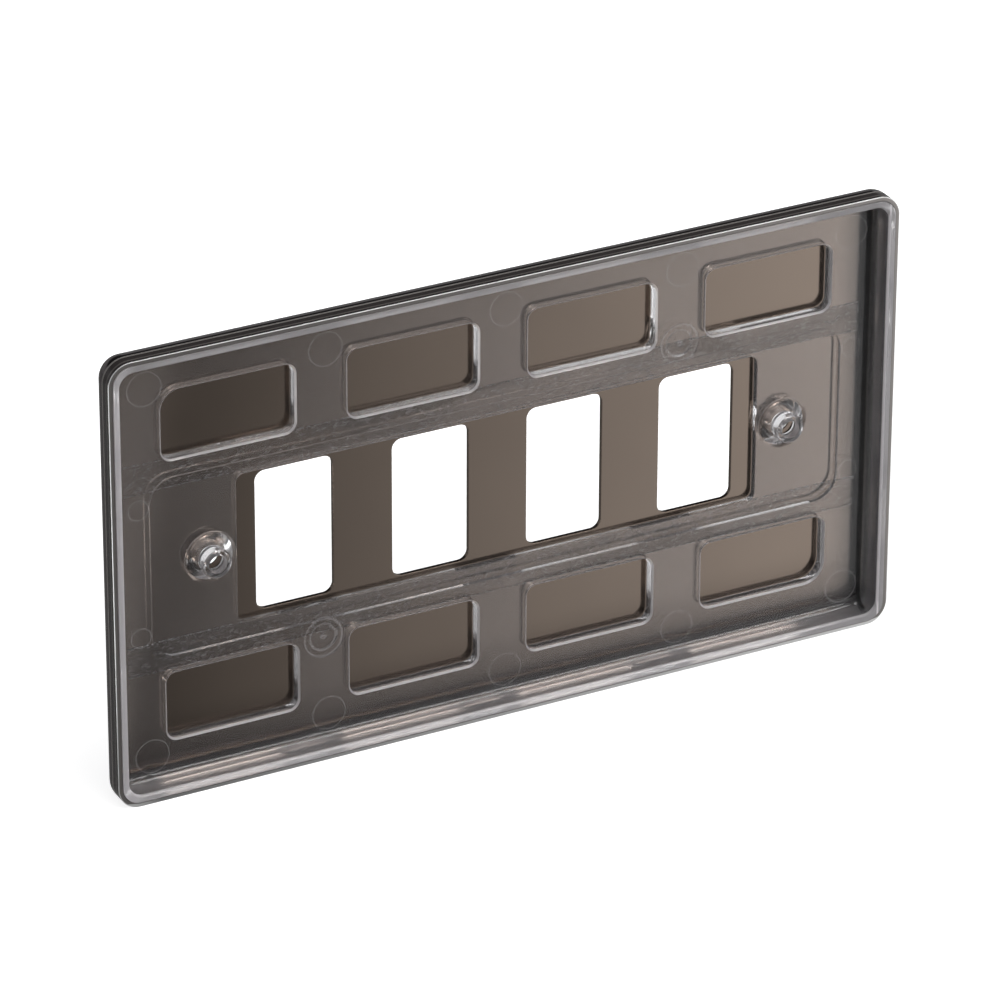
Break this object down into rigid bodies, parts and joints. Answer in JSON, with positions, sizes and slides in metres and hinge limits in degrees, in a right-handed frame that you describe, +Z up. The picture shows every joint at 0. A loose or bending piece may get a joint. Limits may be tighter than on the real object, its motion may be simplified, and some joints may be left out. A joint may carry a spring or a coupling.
{
  "type": "grid switch plate",
  "caption": "Flat metal front plate with rolled edges and a row of rectangular switch apertures, backed by a clear moulded insulating liner with two hollow screw bosses.",
  "frame": {"origin": "midway between the two screw holes, on the plane of the liner's boss tips, which bear on the grid frame", "axes": "+X along the plate (to the right seen from the front), +Y from the plate towards the wall, +Z up; the front faces -Y"},
  "size_m": [0.1642, 0.0077, 0.0916],
  "materials": {
    "plated_steel": "black nickel plate on pressed steel, polished outside and satin on the back",
    "clear_plastic": "clear colourless moulding, glossy",
    "adhesive_tape": "thin translucent double-sided tape, slightly frosted"
  },
  "bodies": {
    "root": {"face_plate": "plated_steel", "insulating_liner": "clear_plastic", "upper_adhesive_strip": "adhesive_tape", "lower_adhesive_strip": "adhesive_tape"}
  },
  "joints": []
}
